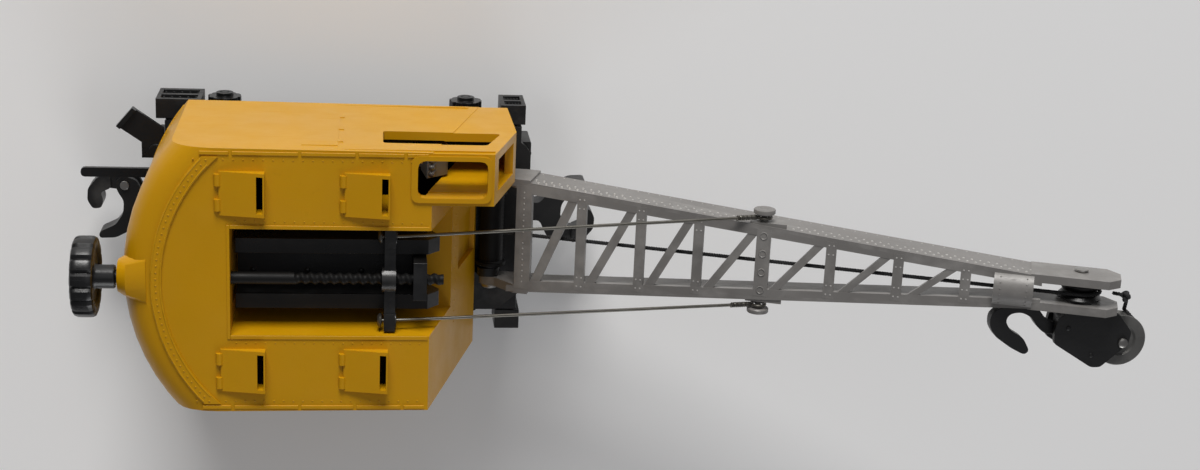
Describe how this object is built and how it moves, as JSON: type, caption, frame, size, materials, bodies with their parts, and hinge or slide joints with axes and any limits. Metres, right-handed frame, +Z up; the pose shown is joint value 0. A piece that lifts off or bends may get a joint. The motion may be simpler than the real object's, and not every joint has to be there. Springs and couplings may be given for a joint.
{
  "type": "toy rail crane",
  "caption": "Toy railway crane car: round-tailed cab slewing on a wheeled chassis, lattice boom luffed by a screw and stays, hook block stowed at its head, knuckle couplers.",
  "frame": {"origin": "centre of the stand pad's underside, the lowest flat face of the gear cover, on the slewing axis; the wheel flanges reach 3.9 mm lower", "axes": "+X forward along the boom, +Y to the operator's side, +Z up out of the roof"},
  "size_m": [0.2849, 0.0692, 0.0917],
  "materials": {
    "cab_plastic": "satin moulded golden-yellow plastic",
    "black_plastic": "satin black moulded plastic",
    "black_diecast": "black painted die-casting",
    "boom_plastic": "satin light grey plastic with bright rivets",
    "steel": "plain steel",
    "grey_metal": "dull dark grey metal",
    "black_cord": "braided black cord"
  },
  "bodies": {
    "chassis": {"chassis_frame": "black_diecast", "gear_cover": "black_plastic", "journal_cap_front_left": "black_plastic", "journal_cap_front_right": "black_plastic", "journal_cap_rear_left": "black_plastic", "journal_cap_rear_right": "black_plastic", "step_front_left": "black_plastic", "step_front_right": "black_plastic", "step_rear_left": "black_plastic", "step_rear_right": "black_plastic", "coupler_pin_front": "steel", "coupler_pin_rear": "steel", "pickup_bracket": "steel"},
    "upper_works": {"cab_shell": "cab_plastic", "screw_channel": "black_plastic", "turntable_platform": "black_plastic", "boom_pivot_pin": "steel", "operator_console": "grey_metal"},
    "luffing_screw": {"lead_screw": "black_plastic", "luffing_handwheel": "black_plastic"},
    "luffing_bar": {"cross_bar": "black_plastic"},
    "boom": {"boom_frame": "boom_plastic", "stay_cap_left": "boom_plastic", "stay_cap_right": "boom_plastic", "sheave_pin": "steel", "hoist_line": "black_cord", "line_knot": "black_cord"},
    "drum": {"hoist_drum": "black_plastic"},
    "head_wheel": {"head_sheave": "black_plastic"},
    "stay_left": {"stay_rod_left": "steel"},
    "stay_right": {"stay_rod_right": "steel"},
    "falls": {"hoist_falls": "black_cord"},
    "pulley": {"block_pulley": "grey_metal"},
    "hook_block": {"block_plate_upper": "black_diecast", "block_plate_lower": "black_diecast", "block_pin": "steel", "block_spacer": "black_diecast", "load_hook": "black_diecast"},
    "wheelset_front": {"axle_front": "steel", "wheel_front_left": "steel", "wheel_front_right": "steel"},
    "wheelset_rear": {"axle_rear": "steel", "wheel_rear_left": "steel", "wheel_rear_right": "steel"},
    "drawbar_front": {"coupler_front": "black_diecast", "knuckle_pin_front": "steel"},
    "drawbar_rear": {"coupler_rear": "black_diecast", "knuckle_pin_rear": "steel"},
    "claw_front": {"knuckle_front": "black_diecast"},
    "claw_rear": {"knuckle_rear": "black_diecast"},
    "drive_lever": {"lever_forward": "black_plastic"},
    "winch_lever": {"lever_winch": "black_plastic"},
    "roller": {"pickup_roller": "steel"}
  },
  "joints": [
    {"name": "cab_slew", "type": "hinge", "parent": "chassis", "child": "upper_works", "pos_m": [0, 0, 0.0205], "axis": [0, 0, 1], "continuous": true},
    {"name": "boom_luff", "type": "hinge", "parent": "upper_works", "child": "boom", "pos_m": [0.0408, 0, 0.0276], "axis": [0, -1, 0], "range_deg": [-5, 20]},
    {"name": "bar_travel", "type": "slide", "parent": "upper_works", "child": "luffing_bar", "axis": [1, 0, 0], "range_m": [-0.0162, 0.0042]},
    {"name": "handwheel_turn", "type": "hinge", "parent": "upper_works", "child": "luffing_screw", "pos_m": [0, 0, 0.0751], "axis": [1, 0, 0], "range_deg": [-1250, 350]},
    {"name": "stay_left_swing", "type": "hinge", "parent": "boom", "child": "stay_left", "pos_m": [0.11187, 0.0123, 0.0567], "axis": [0, -1, 0], "range_deg": [-7.5, 2.5]},
    {"name": "stay_right_swing", "type": "hinge", "parent": "boom", "child": "stay_right", "pos_m": [0.11187, -0.0123, 0.0567], "axis": [0, -1, 0], "range_deg": [-7.5, 2.5]},
    {"name": "hook_swing", "type": "hinge", "parent": "boom", "child": "falls", "pos_m": [0.2, -0.0075, 0.0739], "axis": [1, 0, 0], "range_deg": [0, 90]},
    {"name": "hook_lower", "type": "slide", "parent": "falls", "child": "pulley", "axis": [0, -0.9873, -0.159], "range_m": [0, 0.06], "deforming": ["hoist_falls"]},
    {"name": "block_tilt", "type": "hinge", "parent": "pulley", "child": "hook_block", "pos_m": [0.206, -0.0144, 0.0764], "axis": [0, 0, 1], "range_deg": [0, 90]},
    {"name": "head_wheel_spin", "type": "hinge", "parent": "boom", "child": "head_wheel", "pos_m": [0.19297, 0, 0.07876], "axis": [0, 1, 0], "range_deg": [0, 1400]},
    {"name": "drum_spin", "type": "hinge", "parent": "upper_works", "child": "drum", "pos_m": [0.0408, 0, 0.0276], "axis": [0, 1, 0], "range_deg": [0, 1900]},
    {"name": "front_axle_roll", "type": "hinge", "parent": "chassis", "child": "wheelset_front", "pos_m": [0.0337, 0, 0.0073], "axis": [0, 1, 0], "continuous": true},
    {"name": "rear_axle_roll", "type": "hinge", "parent": "chassis", "child": "wheelset_rear", "pos_m": [-0.0337, 0, 0.0073], "axis": [0, 1, 0], "continuous": true},
    {"name": "front_coupler_swing", "type": "hinge", "parent": "chassis", "child": "drawbar_front", "pos_m": [0.047, 0, 0.0087], "axis": [0, 0, 1], "range_deg": [-10, 10]},
    {"name": "rear_coupler_swing", "type": "hinge", "parent": "chassis", "child": "drawbar_rear", "pos_m": [-0.047, 0, 0.0087], "axis": [0, 0, 1], "range_deg": [-10, 10]},
    {"name": "front_knuckle_open", "type": "hinge", "parent": "drawbar_front", "child": "claw_front", "pos_m": [0.0612, -0.0062, 0.0087], "axis": [0, 0, -1], "range_deg": [0, 32]},
    {"name": "rear_knuckle_open", "type": "hinge", "parent": "drawbar_rear", "child": "claw_rear", "pos_m": [-0.0612, 0.0062, 0.0087], "axis": [0, 0, -1], "range_deg": [0, 32]},
    {"name": "drive_lever_throw", "type": "hinge", "parent": "chassis", "child": "drive_lever", "pos_m": [-0.0486, 0.0127, 0.022], "axis": [0, 0, 1], "range_deg": [-10, 12]},
    {"name": "winch_lever_throw", "type": "hinge", "parent": "chassis", "child": "winch_lever", "pos_m": [-0.0512, 0.019, 0.022], "axis": [0, 0, 1], "range_deg": [-10, 8]},
    {"name": "pickup_roller_roll", "type": "hinge", "parent": "chassis", "child": "roller", "pos_m": [0.0176, 0, -0.0015], "axis": [0, 1, 0], "continuous": true}
  ],
  "couplings": [
    {"joint": "bar_travel", "follows": "boom_luff", "m_per_rad": -0.044421},
    {"joint": "handwheel_turn", "follows": "boom_luff", "ratio": -58.148},
    {"joint": "stay_left_swing", "follows": "boom_luff", "ratio": -0.34153},
    {"joint": "stay_right_swing", "follows": "boom_luff", "ratio": -0.34153},
    {"joint": "drum_spin", "follows": "hook_lower", "rad_per_m": 512.82},
    {"joint": "head_wheel_spin", "follows": "hook_lower", "rad_per_m": 380.95}
  ]
}
